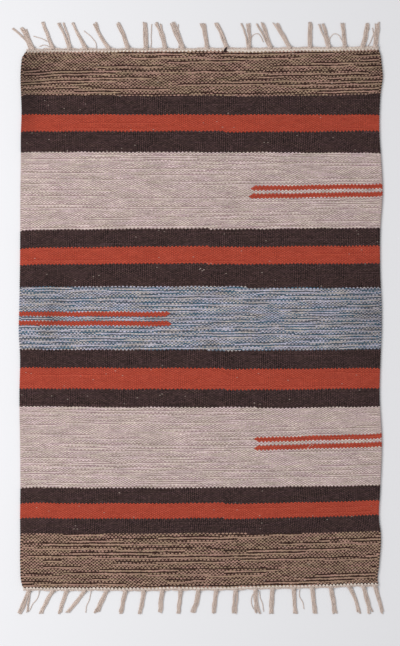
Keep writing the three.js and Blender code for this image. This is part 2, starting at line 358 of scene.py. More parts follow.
# The noises that vary the weft. Columns: how fast each changes per warp and per pick, how far it
# reaches to both sides of 0, its detail, and where it starts across and along.
Noise = namedtuple("Noise", "per_warp per_pick reach detail start", defaults=(0, (0, 0)))
PUSH = Noise(1, 1, 0.25)
WOBBLE = Noise(0.9, 1, 0.25, 0, (40, 0))
ORDER = Noise(0.0095, 7.618, 0.5)
ORDER_PATCHES = Noise(0.03, 0.1, 0.06)
STRAND_SHARE = Noise(0.15, 3.907, 0.5, 1)
DYE = Noise(0.05, 5.31, 2.0, 1)
TONE = Noise(0.1, 5.31, 2.0, 3, (0, 77))
TONE_PATCHES = Noise(0.05, 0.11, 1.0, 1, (0, 50))
# Patches where the painted light and shade on the ribs is stronger
RIB_SHADING_PATCHES = Noise(0.11, 0.05, 2.0, 1)
# How much of a pick's step in a noise its two strands are apart
STRAND_STEP = 0.37

# The look of a float: how much its sides bulge, how much painted shade darkens its tips and its
# furrows, and the bumps of its strands and fibres
FLOAT_ROUNDNESS = 0.7
SHADE_CURVE = 3.0
TIP_SHADE = 0.24
FURROW_SHADE = 0.45
STRAND_CURVE = 2.4
STRAND_MIDDLE = 0.86
FIBRES_PER_WARP = 2.5
FIBRES_PER_PICK = 5.0
FIBRE_RUN = 1.5
FIBRE_DETAIL = 2.0
FIBRE_HEIGHT = 0.4
WEAVE_BUMP = 0.2 * MM
FLECK_COLOUR = (176, 160, 150)
FLECK_SHARE = 0.005
FLECK_DRAW = 7.0
FLECK_REACH = 0.3
FLECK_STRENGTH = 0.5

# Patches where the cloth's colour is painted darker: the X and Y of the middle, how far it reaches
# each way, and how much darker it is there.
DarkPatch = namedtuple("DarkPatch", "x y wide tall darker")
DARK_PATCHES = [
    DarkPatch(-300, 425, 52, 60, 0.42),
    DarkPatch(-300, 345, 28, 55, 0.30),
    DarkPatch(300, 410, 37, 60, 0.15),
    DarkPatch(-245, 0, 28, 75, 0.18),
    DarkPatch(300, 0, 68, 75, 0.26),
]

# The look of the undyed yarn: its two tones, how one stretch and one strand differ from the next,
# and the bumps of its fibres
FRINGE_LIGHT = (228, 213, 205)
FRINGE_DARK = (190, 170, 157)
FRINGE_PER_MM = 0.12
FRINGE_STEP = 31.7
FRINGE_DETAIL = 2.0
FRINGE_TONE = 0.8
FRINGE_OWN_TONE = 0.5
FRINGE_DARKER = 0.15
# How much lighter the header's strands are painted than the same yarn in the tassels, a painted
# highlight
HEADER_PAINTED_LIGHT = 0.15
FRINGE_FIBRES_PER_MM = 3.0
FRINGE_FIBRE_STEP = 97.0
FRINGE_BUMP = 0.1 * MM

# The stage, in metres
FLOOR_COLOUR = (229, 229, 232)
FLOOR_SIZE = 8.0
FLOOR_HEIGHT = -0.1 * MM
WHITE = (1.0, 1.0, 1.0)
SKY_STRENGTH = 0.56
KEY_PLACE = (-1.7, 0.05, 2.0)
KEY_SIZE = 1.4
KEY_POWER = 48
PHOTO_HEIGHT = 646
PIXEL = 1.662 * MM
CAMERA_CENTRE = (-0.0008, -0.0066)
CAMERA_DISTANCE = 3.2

rng = np.random.default_rng(27)


# Helpers


def curve_through(places, values, at):
    """A smooth curve through the values at rising places, read at other places."""
    places = np.asarray(places, float)
    values = np.asarray(values, float)
    slopes = np.gradient(values, places)
    at = np.clip(at, places[0], places[-1])
    low = np.clip(np.searchsorted(places, at) - 1, 0, len(places) - 2)
    width = places[low + 1] - places[low]
    t = (at - places[low]) / width
    start = (1 + 2 * t) * (1 - t) ** 2 * values[low] + t * (1 - t) ** 2 * width * slopes[low]
    end = t**2 * (3 - 2 * t) * values[low + 1] + t**2 * (t - 1) * width * slopes[low + 1]
    return start + end


def smooth_step(t):
    t = np.clip(t, 0, 1)
    return t * t * (3 - 2 * t)


def linear(colour):
    """An sRGB colour, 0 to 255, as the linear RGBA that a shader takes."""
    share = np.asarray(colour, float) / 255
    rgb = np.where(share <= 0.04045, share / 12.92, ((share + 0.055) / 1.055) ** 2.4)
    return (*rgb, 1.0)


def mesh_object(name, points, faces, loop_uvs, material, normals=None):
    """A smooth mesh object from points in millimetres, rows of corners, and UV maps by name."""
    mesh = bpy.data.meshes.new(name)
    mesh.from_pydata((points * MM).tolist(), [], faces)
    mesh.polygons.foreach_set("use_smooth", np.ones(len(mesh.polygons), bool))
    for uv_name, uv in loop_uvs.items():
        layer = mesh.uv_layers.new(name=uv_name)
        layer.data.foreach_set("uv", np.ascontiguousarray(uv, np.float32).ravel())
    mesh.materials.append(material)
    mesh.update()
    if normals is not None:
        mesh.normals_split_custom_set_from_vertices(normals.tolist())
    made = bpy.data.objects.new(name, mesh)
    bpy.context.collection.objects.link(made)
    return made


# Materials


class Graph:
    """A material's node tree, with a short method for each kind of node that is used here."""

    def __init__(self, name):
        self.material = bpy.data.materials.new(name)
        self.material.use_nodes = True
        self.tree = self.material.node_tree
        self.tree.nodes.clear()

    def node(self, kind, inputs=None, **settings):
        made = self.tree.nodes.new(kind)
        for key, value in settings.items():
            setattr(made, key, value)
        for socket, value in (inputs or {}).items():
            if isinstance(value, bpy.types.NodeSocket):
                self.tree.links.new(value, made.inputs[socket])
            else:
                made.inputs[socket].default_value = value
        return made

    def calculate(self, operation, *values, clamp=False):
        inputs = dict(enumerate(values))
        return self.node("ShaderNodeMath", inputs, operation=operation, use_clamp=clamp).outputs[0]

    add = partialmethod(calculate, "ADD")
    subtract = partialmethod(calculate, "SUBTRACT")
    multiply = partialmethod(calculate, "MULTIPLY")
    scale_and_shift = partialmethod(calculate, "MULTIPLY_ADD")
    power = partialmethod(calculate, "POWER")
    floor = partialmethod(calculate, "FLOOR")
    absolute = partialmethod(calculate, "ABSOLUTE")
    larger = partialmethod(calculate, "MAXIMUM")
    is_more = partialmethod(calculate, "GREATER_THAN")
    is_less = partialmethod(calculate, "LESS_THAN")

    def swing(self, value, reach):
        """A value from 0 to 1 as one from -reach to reach."""
        return self.scale_and_shift(value, 2 * reach, -reach)

    def share(self, value):
        """A value around 0 as a share: around a half, and not past 0 or 1."""
        return self.add(value, 0.5, clamp=True)

    def uv(self, name):
        made = self.node("ShaderNodeUVMap", uv_map=name)
        parts = self.node("ShaderNodeSeparateXYZ", {0: made.outputs[0]})
        return parts.outputs[0], parts.outputs[1]

    def noise(self, place, detail=0.0):
        """Smooth noise along a line, from 0 to 1."""
        inputs = {"W": place, "Scale": 1.0, "Detail": detail}
        return self.node("ShaderNodeTexNoise", inputs, noise_dimensions="1D").outputs[0]

    def noise_2d(self, x, y, detail=0.0):
        """Smooth noise over a plane, from 0 to 1."""
        place = self.node("ShaderNodeCombineXYZ", {0: x, 1: y}).outputs[0]
        inputs = {"Vector": place, "Scale": 1.0, "Detail": detail}
        return self.node("ShaderNodeTexNoise", inputs, noise_dimensions="2D").outputs[0]

    def along_strand(self, noise, across, lane):
        """A noise along a strand. Each lane, such as a pick, has its own stretch of it."""
        lane = self.scale_and_shift(lane, noise.per_pick, noise.start[1])
        value = self.noise(self.scale_and_shift(across, noise.per_warp, lane), noise.detail)
        return self.swing(value, noise.reach)

    def over_cloth(self, noise, across, along):
        """A noise in patches over the cloth."""
        x = self.scale_and_shift(across, noise.per_warp, noise.start[0])
        y = self.scale_and_shift(along, noise.per_pick, noise.start[1])
        return self.swing(self.noise_2d(x, y, noise.detail), noise.reach)

    def draw(self, *numbers):
        """A value from 0 to 1, drawn anew for each set of numbers."""
        place = self.node("ShaderNodeCombineXYZ", dict(enumerate(numbers))).outputs[0]
        made = self.node("ShaderNodeTexWhiteNoise", {"Vector": place}, noise_dimensions="3D")
        return made.outputs["Value"]

    def lookup(self, number, colours):
        """The colour with that number."""
        place = self.scale_and_shift(number, 1 / len(colours), 0.5 / len(colours))
        made = self.node("ShaderNodeValToRGB", {0: place})
        ramp = made.color_ramp
        ramp.interpolation = "CONSTANT"
        ramp.elements.remove(ramp.elements[-1])
        ramp.elements[0].color = colours[0]
        for index, colour in enumerate(colours[1:], start=1):
            ramp.elements.new(index / len(colours)).color = colour
        return made.outputs[0]

    def mix(self, share, a, b):
        inputs = {0: share, 6: a, 7: b}
        return self.node("ShaderNodeMix", inputs, data_type="RGBA").outputs[2]

    def scaled(self, colour, factor):
        made = self.node("ShaderNodeVectorMath", {0: colour, "Scale": factor}, operation="SCALE")
        return made.outputs[0]

    def near(self, x, y, middle, reach):
        """A soft round spot: 1 in its middle, falling to 0."""
        across = self.scale_and_shift(x, 1 / reach[0], -middle[0] / reach[0])
        along = self.scale_and_shift(y, 1 / reach[1], -middle[1] / reach[1])
        away = self.scale_and_shift(across, across, self.multiply(along, along))
        return self.calculate("EXPONENT", self.multiply(away, -1.0))

    def cloth_shader(self, colour, height, depth):
        """A matt, slightly soft-edged surface with fine bumps."""
        bump = self.node("ShaderNodeBump", {"Height": height, "Distance": depth})
        inputs = {
            "Base Color": colour,
            "Roughness": 0.95,
            "Normal": bump.outputs[0],
            "Specular IOR Level": 0.15,
            "Sheen Weight": 0.04,
            "Sheen Roughness": 0.6,
        }
        shader = self.node("ShaderNodeBsdfPrincipled", inputs)
        self.node("ShaderNodeOutputMaterial", {0: shader.outputs[0]})
        return self.material


# The weaving plan as numbers


def across_share(share):
    """Where a share of the warps lies across the cloth. The warps lie closer at its sides."""
    return share - CLOSER_SIDES * np.sin(2 * np.pi * share)


def warp_at(x):
    """The number of the warp end at an X. It runs on past the selvedges."""
    shares = np.linspace(0, 1, WARP_ENDS + 1)
    share = np.interp(x / HALF_WIDTH / 2 + 0.5, across_share(shares), shares)
    beyond = (x - np.clip(x, -HALF_WIDTH, HALF_WIDTH)) / WARP_PITCH
    return beyond + WARP_ENDS * float(share)


def row_lines():
    """The picks at which rows of the plan end, with their Y at the left, middle and right."""
    rows = [NORTH_EDGE, *STRIPES]
    ends = np.cumsum([row.picks for row in rows]) + 0.5
    table = np.array([(end, row.left, row.middle, row.right) for end, row in zip(ends, rows)])
    first = table[0] - (table[1] - table[0]) * RUN_ON / (table[1][0] - table[0][0])
    last = table[-1] + (table[-1] - table[-2]) * RUN_ON / (table[-1][0] - table[-2][0])
    return np.vstack([first, table, last])


ROW_LINES = row_lines()
SIDE_TABLE = np.array(SIDES)


def pick_at(y):
    """The number of the pick at a Y, in the middle of the cloth."""
    picks, _, middle, _ = ROW_LINES.T
    return float(np.interp(-y, -middle, picks))


def ripple(waves, across, along):
    """The sum of some waves at places given by warps across and picks along."""
    return sum(
        wave.size * np.sin(across / wave.warps + along / wave.picks + wave.start) for wave in waves
    )


def weave_plan(across, along):
    """X and Y in millimetres of places given by warps across and picks along."""
    picks, left, middle, right = ROW_LINES.T
    share = across_share(across / WARP_ENDS)
    t = (2 * share - 1) * HALF_WIDTH / STATION
    at_left = np.interp(along, picks, left)
    at_middle = np.interp(along, picks, middle)
    at_right = np.interp(along, picks, right)
    slope = (at_right - at_left) / 2
    bow = (at_right + at_left) / 2 - at_middle
    y = at_middle + slope * t + bow * t**2
    inward = share * 2 * HALF_WIDTH
    y = y - SELVEDGE_DROOP * np.exp(-inward / DROOP_REACH)
    in_band = np.clip(along / STRIPES[0].picks, 0, 1)
    y = y - BAND_SAG * np.sin(np.pi * in_band) * (1 - smooth_step(inward / BAND_SAG_REACH))
    y = y + ripple(PICK_WAVES, across, along)
    low = curve_through(SIDE_TABLE[:, 0], SIDE_TABLE[:, 1], y)
    high = curve_through(SIDE_TABLE[:, 0], SIDE_TABLE[:, 2], y)
    x = low + (high - low) * share + np.sin(np.pi * share) * ripple(WARP_WAVES, across, along)
    return x, y


# The look of the yarns


def yarn_number(graph, pick, warp):
    """Which yarn a pick is, from the weaving plan, as the yarn's place in DYES."""
    number_of = list(DYES).index
    number = number_of("cream")
    changes = []
    before = 0
    for previous, stripe in zip([NORTH_EDGE, *STRIPES], STRIPES):
        if stripe.yarn != previous.yarn:
            change = number_of(stripe.yarn) - number_of(previous.yarn)
            changes.append((before, previous.join, change))
        before += stripe.picks
    changes.append((PICKS, None, number - number_of(STRIPES[-1].yarn)))
    for first, join, change in changes:
        threshold = first - 0.5
        if join is not None:
            threshold = graph.add(graph.is_more(warp, warp_at(join)), threshold)
        number = graph.scale_and_shift(graph.is_more(pick, threshold), change, number)
    rust = number_of("rust")
    for inset in INSETS:
        north = sum(stripe.picks for stripe in STRIPES[: inset.row]) + inset.skip
        away = graph.subtract(pick, north + (INSET_PICKS - 1) / 2)
        outer = graph.absolute(away)
        northern = graph.larger(graph.multiply(away, -1.0), 0.0)
        west = graph.scale_and_shift(outer, inset.point, round(warp_at(inset.west)) - 1.0)
        west = graph.scale_and_shift(northern, inset.lag, west)
        east = graph.scale_and_shift(outer, -inset.point, round(warp_at(inset.east)) + 1.0)
        inside = graph.is_less(outer, INSET_PICKS / 2)
        inside = graph.multiply(inside, graph.is_more(warp, west))
        inside = graph.multiply(inside, graph.is_less(warp, east))
        number = graph.scale_and_shift(inside, graph.subtract(rust, number), number)
    return number


# A place on the cloth, as sockets: its warps and picks, its float, how far off the float's middle
# it is, and how near the crest of a rib.
Place = namedtuple("Place", "true_across across along pick warp down aside crest")


def find_float(graph):
    """The place on the cloth, from the Weave map, which counts warps across and picks along.

    A float is a lens two warps wide and two picks tall. The lenses tile the cloth, so turned axes
    tell which one a place lies in. Some noise keeps them from being all alike.
    """
    true_across, along = graph.uv("Weave")
    across = graph.add(true_across, graph.over_cloth(PUSH, true_across, along))
    along = graph.add(along, graph.over_cloth(WOBBLE, across, along))
    centred = graph.subtract(across, 0.5)
    turn = graph.multiply(centred, 2 * math.pi)
    bulge = graph.calculate("SINE", turn)
    centred = graph.scale_and_shift(bulge, -FLOAT_ROUNDNESS / (2 * math.pi), centred)
    falling = graph.multiply(graph.add(centred, along), 0.5)
    rising = graph.multiply(graph.subtract(along, centred), 0.5)
    fall = graph.floor(falling)
    rise = graph.floor(rising)
    inner_fall = graph.subtract(graph.subtract(falling, fall), 0.5)
    inner_rise = graph.subtract(graph.subtract(rising, rise), 0.5)
    pick = graph.add(fall, rise)
    warp = graph.subtract(fall, rise)
    down = graph.add(inner_fall, inner_rise)
    aside = graph.subtract(inner_fall, inner_rise)
    crest = graph.calculate("COSINE", turn)
    return Place(true_across, across, along, pick, warp, down, aside, crest)


def strand_at(graph, number, place):
    """1 in the light strand of a pick, and 0 in its dark strand.

    The two lie one above the other and change places now and then. Round a selvedge they lie
    apart, turn by turn.
    """
    alike = graph.lookup(number, [(*[habit.alike] * 3, 1.0) for habit in HABITS.values()])
    order = graph.add(graph.along_strand(ORDER, place.across, place.pick), alike)
    order = graph.add(order, graph.over_cloth(ORDER_PATCHES, place.across, place.pick))
    turned = graph.is_more(order, 0.0)
    share = graph.along_strand(STRAND_SHARE, place.across, place.pick)
    upper = graph.is_more(place.down, graph.multiply(share, graph.swing(turned, 1.0)))
    strand = graph.absolute(graph.subtract(turned, upper))
    from_middle = graph.absolute(graph.subtract(place.true_across, WARP_ENDS / 2))
    at_side = graph.is_more(from_middle, WARP_ENDS / 2 - SELVEDGE_TURN)
    side_strand = graph.is_more(graph.calculate("FLOORED_MODULO", place.along, 2.0), 1.0)
    return graph.scale_and_shift(at_side, graph.subtract(side_strand, strand), strand)


def dyed(graph, number, place, strand, lane):
    """The colour of a strand. Its dye wanders, mostly from one pick to the next."""
    light, light_too, dark, dark_too = (
        graph.lookup(number, [linear(colour) for colour in colours])
        for colours in zip(*DYES.values())
    )
    dye = graph.share(graph.along_strand(DYE, place.across, lane))
    return graph.mix(strand, graph.mix(dye, dark, dark_too), graph.mix(dye, light, light_too))


def tone_at(graph, number, place, strand, lane):
    """How light a place is beside its dye.

    The tone drifts along a strand and from patch to patch, and each float has its own. In patches
    the ribs stand out with painted highlight on their crests and painted shade in their furrows.
    """
    shares = [(habit.drift, habit.float, habit.rib, 1.0) for habit in HABITS.values()]
    shares = graph.node("ShaderNodeSeparateColor", {0: graph.lookup(number, shares)})
    drift, floats, rib = shares.outputs
    patches = graph.over_cloth(TONE_PATCHES, place.across, place.along)
    drifting = graph.add(graph.along_strand(TONE, place.across, lane), patches)
    own = graph.subtract(graph.draw(place.pick, place.warp, strand), 0.5)
    # Painted light on the ribs: lighter on their crests, darker in the furrows between warps
    rib_shading = graph.share(graph.over_cloth(RIB_SHADING_PATCHES, place.across, place.along))
    rib_shading = graph.multiply(place.crest, rib_shading)
    tone = graph.scale_and_shift(own, floats, graph.multiply(drifting, drift))
    return graph.add(graph.scale_and_shift(rib_shading, rib, tone), 1.0)


def flecked(graph, place, colour):
    """The colour with pale flecks of undyed fibre, caught in the spinning."""
    chosen = graph.is_less(graph.draw(place.warp, place.pick, FLECK_DRAW), FLECK_SHARE)
    away = graph.larger(graph.absolute(place.aside), graph.absolute(place.down))
    inside = graph.multiply(chosen, graph.is_less(away, FLECK_REACH))
    return graph.mix(graph.multiply(inside, FLECK_STRENGTH), colour, linear(FLECK_COLOUR))


def shade_at(graph, place):
    """Painted shade where a float dives under its neighbours and in the furrows, and the painted
    darker patches.
    """
    # Painted shade: darker towards a float's tips and in the furrows between warps
    tip = graph.power(graph.absolute(place.down), SHADE_CURVE)
    side = graph.power(graph.absolute(place.aside), SHADE_CURVE)
    shade = graph.scale_and_shift(tip, -TIP_SHADE, 1.0)
    shade = graph.scale_and_shift(side, -FURROW_SHADE, shade)
    # Darker patches, painted into the colour of the cloth
    for dark_patch in DARK_PATCHES:
        middle = (warp_at(dark_patch.x), pick_at(dark_patch.y))
        picks = pick_at(dark_patch.y - dark_patch.tall) - pick_at(dark_patch.y + dark_patch.tall)
        reach = (dark_patch.wide / WARP_PITCH, picks / 2)
        spot = graph.near(place.true_across, place.along, middle, reach)
        shade = graph.multiply(shade, graph.scale_and_shift(spot, -dark_patch.darker, 1.0))
    return shade


def strand_height(graph, place):
    """The bumps of the strands. Each is round, and its fibres lie aslant with the twist."""
    slant = graph.multiply(place.along, FIBRES_PER_PICK)
    slant = graph.scale_and_shift(place.across, FIBRES_PER_WARP, slant)
    fibres = graph.noise_2d(slant, graph.multiply(place.across, FIBRE_RUN), FIBRE_DETAIL)
    off_strand = graph.scale_and_shift(graph.absolute(place.down), STRAND_CURVE, -STRAND_MIDDLE)
    hollow = graph.multiply(graph.multiply(off_strand, off_strand), -1.0)
    return graph.scale_and_shift(fibres, FIBRE_HEIGHT, hollow)


def woven_material():
    """Floats of two strands each, in the colours of the weaving plan."""
    graph = Graph("woven yarn")
    place = find_float(graph)
    number = yarn_number(graph, place.pick, place.warp)
    strand = strand_at(graph, number, place)
    lane = graph.scale_and_shift(strand, STRAND_STEP, place.pick)
    colour = dyed(graph, number, place, strand, lane)
    colour = graph.scaled(colour, tone_at(graph, number, place, strand, lane))
    colour = flecked(graph, place, colour)
    colour = graph.scaled(colour, shade_at(graph, place))
    return graph.cloth_shader(colour, strand_height(graph, place), WEAVE_BUMP)


def fringe_material():
    """Undyed cotton yarn. The Strand map counts millimetres along a strand, and strands."""
    graph = Graph("undyed cotton")
    along, strand = graph.uv("Strand")
    number = graph.floor(strand)
    stretch = graph.scale_and_shift(number, FRINGE_STEP, graph.multiply(along, FRINGE_PER_MM))
    tone = graph.multiply(graph.noise(stretch, FRINGE_DETAIL), FRINGE_TONE)
    own = graph.scale_and_shift(graph.draw(number, 0.0, 0.0), FRINGE_OWN_TONE, -FRINGE_DARKER)
    share = graph.add(tone, own, clamp=True)
    # Painted light: the header's strands are painted lighter than the same yarn in the tassels
    header = graph.is_less(number, PLIES * (WARP_ENDS + HEADER_PICKS))
    share = graph.add(share, graph.multiply(header, HEADER_PAINTED_LIGHT))
    colour = graph.mix(share, linear(FRINGE_DARK), linear(FRINGE_LIGHT))
    slant = graph.multiply(along, FRINGE_FIBRES_PER_MM)
    slant = graph.scale_and_shift(strand, FRINGE_FIBRE_STEP, slant)
    return graph.cloth_shader(colour, graph.noise(slant, FRINGE_DETAIL), FRINGE_BUMP)


def floor_material():
    graph = Graph("plain floor")
    inputs = {"Base Color": linear(FLOOR_COLOUR), "Roughness": 0.9, "Specular IOR Level": 0.1}
    shader = graph.node("ShaderNodeBsdfPrincipled", inputs)
    graph.node("ShaderNodeOutputMaterial", {0: shader.outputs[0]})
    return graph.material


# The cloth


def unevenness(x, y):
    hump = np.sin(x / HUMP_LENGTHS[0] + y / HUMP_LENGTHS[1])
    return UNEVENNESS * hump * np.cos(x / DIP_LENGTHS[0] + y / DIP_LENGTHS[1])


def relief(across, along):
    """The height of the cloth's top: a rib over each warp, and two strands in each float on it."""
    from_crest = across - np.floor(across) - 0.5
    falling = (across - 0.5 + along) / 2
    rising = (along - across + 0.5) / 2
    off_middle = np.abs(falling - np.floor(falling) + rising - np.floor(rising) - 1)
    rib = np.cos(np.pi * from_crest)
    groove = STRAND_GROOVE * np.clip(1 - 2 * off_middle, 0, 1)
    groove = groove + FLOAT_GROOVE * off_middle**FLOAT_GROOVE_CURVE
    furrow = VALLEY_GROOVE * off_middle * 2
    height = RIB_VALLEY + (RIB_CREST - RIB_VALLEY) * rib**RIB_FULLNESS
    return height - rib * groove - (1 - rib) * furrow


def grid_rows():
    """The picks with points: each one, and halfway between those of a thick yarn."""
    rows = [NORTH.last_row, 0]
    for stripe in STRIPES:
        step = 0.5 if stripe.yarn in THICK_YARNS else 1.0
        rows.extend(np.arange(rows[-1] + step, rows[-1] + stripe.picks + step / 2, step))
    rows.extend([PICKS + 0.5, SOUTH.last_row])
    return rows


def cloth_grid():
    """The cloth's skin as rings around its section.

    Gives points, their warps and picks, and how many of a ring's points are on top.
    """
    inner = np.arange(1, 2 * WARP_ENDS) / 2
    sides = np.array([0, SELVEDGE_SHOULDER])
    top_across = np.concatenate([sides, inner, WARP_ENDS - sides[::-1]])
    under_across = WARP_ENDS * (1 - np.array(UNDERSIDE_SHARES))
    across = np.concatenate([top_across, under_across])
    warps, picks = np.meshgrid(across, grid_rows())
    x, y = weave_plan(warps, picks)
    tops = len(top_across)
    z = np.zeros_like(x)
    z[:, :tops] = relief(warps[:, :tops], picks[:, :tops]) + unevenness(x[:, :tops], y[:, :tops])
    z[:, 1 : tops - 1] += rng.normal(0, ROUGHNESS, (len(z), tops - 2))
    last = tops - 1
    z[:, [0, last]] = SELVEDGE_LIFT
    z[:, [1, last - 1]] = RIB_VALLEY
    scallop = SELVEDGE_SCALLOP * np.cos(np.pi * (picks[:, 0] - 1))
    x[:, 0] -= scallop
    x[:, last] += scallop * (1 if WARP_ENDS % 2 else -1)
    z[:, [tops, -1]] = SELVEDGE_FOOT
    return np.stack([x, y, z], axis=2), warps, picks, tops


def ring_normals(points):
    """Smooth normals of the rings, the same on both sides of a cut between pieces."""
    around = np.roll(points, -1, axis=1) - np.roll(points, 1, axis=1)
    down = np.gradient(points, axis=0)
    normals = np.cross(down, around)
    return normals / np.linalg.norm(normals, axis=2, keepdims=True)


def bake_map(x, y, top):
    """A flat map of a piece: its top in the upper half of the square, and its underside below."""
    u = (x - x.min()) / (x.max() - x.min())
    v = (y - y.min()) / (y.max() - y.min())
    u = BAKE_MARGIN + (1 - 2 * BAKE_MARGIN) * u
    v = BAKE_MARGIN + (0.5 - 2 * BAKE_MARGIN) * v + top * 0.5
    return np.stack([u, v], axis=1)


def weave_cloth(material):
    """The cloth, cut between picks into a few closed pieces so that each stays light."""
    points, warps, picks, tops = cloth_grid()
    normals = ring_normals(points)
    rows, ring = warps.shape
    cuts = np.linspace(0, rows - 1, CLOTH_PIECES + 1).astype(int)
    pieces = []
    for number, (first, last) in enumerate(zip(cuts[:-1], cuts[1:]), start=1):
        part = slice(first, last + 1)
        count = last - first + 1
        index = np.arange(count * ring).reshape(count, ring)
        after = np.roll(index, -1, axis=1)
        quads = np.stack([index[1:], after[1:], after[:-1], index[:-1]], axis=-1).reshape(-1, 4)
        column = np.tile(np.arange(ring), count - 1)
        on_top = np.repeat((column < tops - 1)[:, None], 4, axis=1)
        caps = [index[0].tolist(), index[-1][::-1].tolist()]
        corners = np.concatenate([quads.ravel(), *caps])
        corner_on_top = np.concatenate([on_top.ravel(), np.zeros(2 * ring, bool)])
        flat_points = points[part].reshape(-1, 3)
        weave_uv = np.stack([warps[part].ravel(), picks[part].ravel()], axis=1)[corners]
        uvs = {"Weave": weave_uv, "OFBake": bake_map(*flat_points[corners, :2].T, corner_on_top)}
        faces = quads.tolist() + caps
        flat_normals = normals[part].reshape(-1, 3)
        name = f"weave_{number}"
        pieces.append(mesh_object(name, flat_points, faces, uvs, material, flat_normals))
    return pieces


# The fringe


def spin(paths, ply_radius=PLY_RADIUS, ply_offset=PLY_OFFSET):
    """Plied yarns along paths, an array of yarns by points by XYZ. No path stands upright.

    Gives points, faces, and for each point its length along, its strand's number and how far round
    the strand it is.
    """
    paths = np.asarray(paths, float)
    yarns, steps, _ = paths.shape
    tangent = np.gradient(paths, axis=1)
    tangent /= np.linalg.norm(tangent, axis=2, keepdims=True)
    side = np.cross(np.array([0.0, 0.0, 1.0]), tangent)
    side /= np.linalg.norm(side, axis=2, keepdims=True)
    up = np.cross(tangent, side)
    length = np.linalg.norm(np.diff(paths, axis=1), axis=2).cumsum(axis=1)
    length = np.concatenate([np.zeros((yarns, 1)), length], axis=1)
    phase = rng.uniform(0, 2 * np.pi, yarns)[:, None, None]
    ply = np.arange(PLIES)[:, None] / PLIES
    turn = (2 * np.pi * (length[:, None] / TWIST_PITCH + ply) + phase)[..., None]
    outward = np.cos(turn) * side[:, None] + np.sin(turn) * up[:, None]
    centre = paths[:, None] + ply_offset * outward
    around = np.arange(PLY_SIDES) / PLY_SIDES
    corner = 2 * np.pi * around[:, None]
    ring = np.cos(corner) * side[:, None, :, None] + np.sin(corner) * up[:, None, :, None]
    points = centre[..., None, :] + ply_radius * ring
    strands = yarns * PLIES
    index = np.arange(strands * steps * PLY_SIDES).reshape(strands, steps, PLY_SIDES)
    after = np.roll(index, -1, axis=2)
    quads = np.stack([index[:, :-1], after[:, :-1], after[:, 1:], index[:, 1:]], axis=-1)
    faces = np.concatenate([quads.reshape(-1, 4), index[:, 0, ::-1], index[:, -1]])
    along = length[:, None, :, None]
    strand = np.arange(strands).reshape(yarns, PLIES, 1, 1)
    data = [np.broadcast_to(part, points.shape[:4]).ravel() for part in (along, strand, around)]
    return points.reshape(-1, 3), faces, np.stack(data, axis=1)


def joined(parts):
    """Several results of spin as one."""
    points, faces, data = [], [], []
    point_count = 0
    strand_count = 0
    for part_points, part_faces, part_data in parts:
        points.append(part_points)
        faces.append(part_faces + point_count)
        data.append(part_data + (0, strand_count, 0))
        point_count += len(part_points)
        strand_count = data[-1][:, 1].max() + 1
    return np.concatenate(points), np.concatenate(faces), np.concatenate(data)


def row_at(x, row):
    """The Y of a row of the weave at an X."""
    across = np.linspace(0, WARP_ENDS, WARP_ENDS + 1)
    row_x, row_y = weave_plan(across, np.full_like(across, row))
    return np.interp(x, row_x, row_y)


def knot_at(x, end):
    """The Y of the middle of a knot at an X."""
    beyond = np.interp(x, [-HALF_WIDTH, HALF_WIDTH], [end.knots_left, end.knots_right])
    return row_at(x, end.colour_row) + end.outward * beyond


def wiggle(t, size, waves):
    """A sideways wave that grows along the way. Its pace and its start are drawn."""
    return size * np.sin(2 * np.pi * (t * rng.uniform(*waves) + rng.uniform())) * t


def tassel_yarns(tassel, end):
    """The loose yarns of one tassel, from inside its knot to their frayed tips, in a few locks."""
    reach = end.reach - end.outward * tassel.short
    root_y = knot_at(tassel.root, end)
    t = np.linspace(0, 1, YARN_STEPS)
    arch = np.sin(np.pi * t)
    flare = 1 + (tassel.flare - 1) * smooth_step(t * FLARE_HASTE)
    lean = (tassel.tip - tassel.root) * t + tassel.bow * arch
    paths = []
    for number, size in enumerate(LOCK_SIZES):
        rank = number - (len(LOCK_SIZES) - 1) / 2
        half = np.sign(rank + rng.normal(0, LOCK_SIDE_CHANCE)) * tassel.split / 2
        spread = rank * LOCK_PITCH * flare + half * t**SPLIT_CURVE
        drift = rng.normal(0, LOCK_DRIFT) * arch + rng.normal(0, LOCK_TIP_DRIFT) * t**2
        centre = tassel.root + lean + spread + drift + wiggle(t, LOCK_WAVE, LOCK_WAVES)
        length = rng.uniform(*TIP_SCATTER)
        turn = 2 * np.pi * (LOCK_TURNS * t + rng.uniform())
        lift = LOCK_LIFT * (number % 2) * (1 - t)
        radius = LOCK_RADII[size]
        for yarn in range(size):
            angle = turn + 2 * np.pi * yarn / size
            own = wiggle(t, YARN_WAVE, YARN_WAVES)
            tip = reach + end.outward * (length + rng.uniform(-YARN_SCATTER, YARN_SCATTER))
            x = centre + radius * np.cos(angle) * (1 + LOCK_LOOSENING * t) + own
            y = root_y + (tip - root_y) * t
            z = YARN_RADIUS + LOCK_DEPTH * radius * (1 + np.sin(angle)) + lift
            z = z + (ROOT_HEIGHT - z) * (1 - smooth_step(t * ROOT_HASTE))
            paths.append(np.stack([x, y, z], axis=1))
    return np.array(paths)


def knot_wraps(tassel, end):
    """The turns of the overhand knot around its bundle."""
    centre_y = knot_at(tassel.root, end)
    turn = np.linspace(0, 2 * np.pi * KNOT_TURNS, KNOT_STEPS)
    slant = rng.uniform(-KNOT_SLANT, KNOT_SLANT)
    angle = turn + rng.uniform(0, 2 * np.pi)
    lead = slant * np.cos(angle) + KNOT_LEAD * (turn / (2 * np.pi) - 0.5)
    paths = []
    for wrap in range(KNOT_WRAPS):
        shift = (wrap - (KNOT_WRAPS - 1) / 2) * KNOT_PITCH
        x = tassel.root + (KNOT_RADIUS + rng.uniform(*KNOT_SCATTER)) * np.cos(angle)
        y = centre_y + end.outward * shift + lead
        z = KNOT_HEIGHT + KNOT_RISE * np.sin(angle)
        paths.append(np.stack([x, y, z], axis=1))
    return np.array(paths)


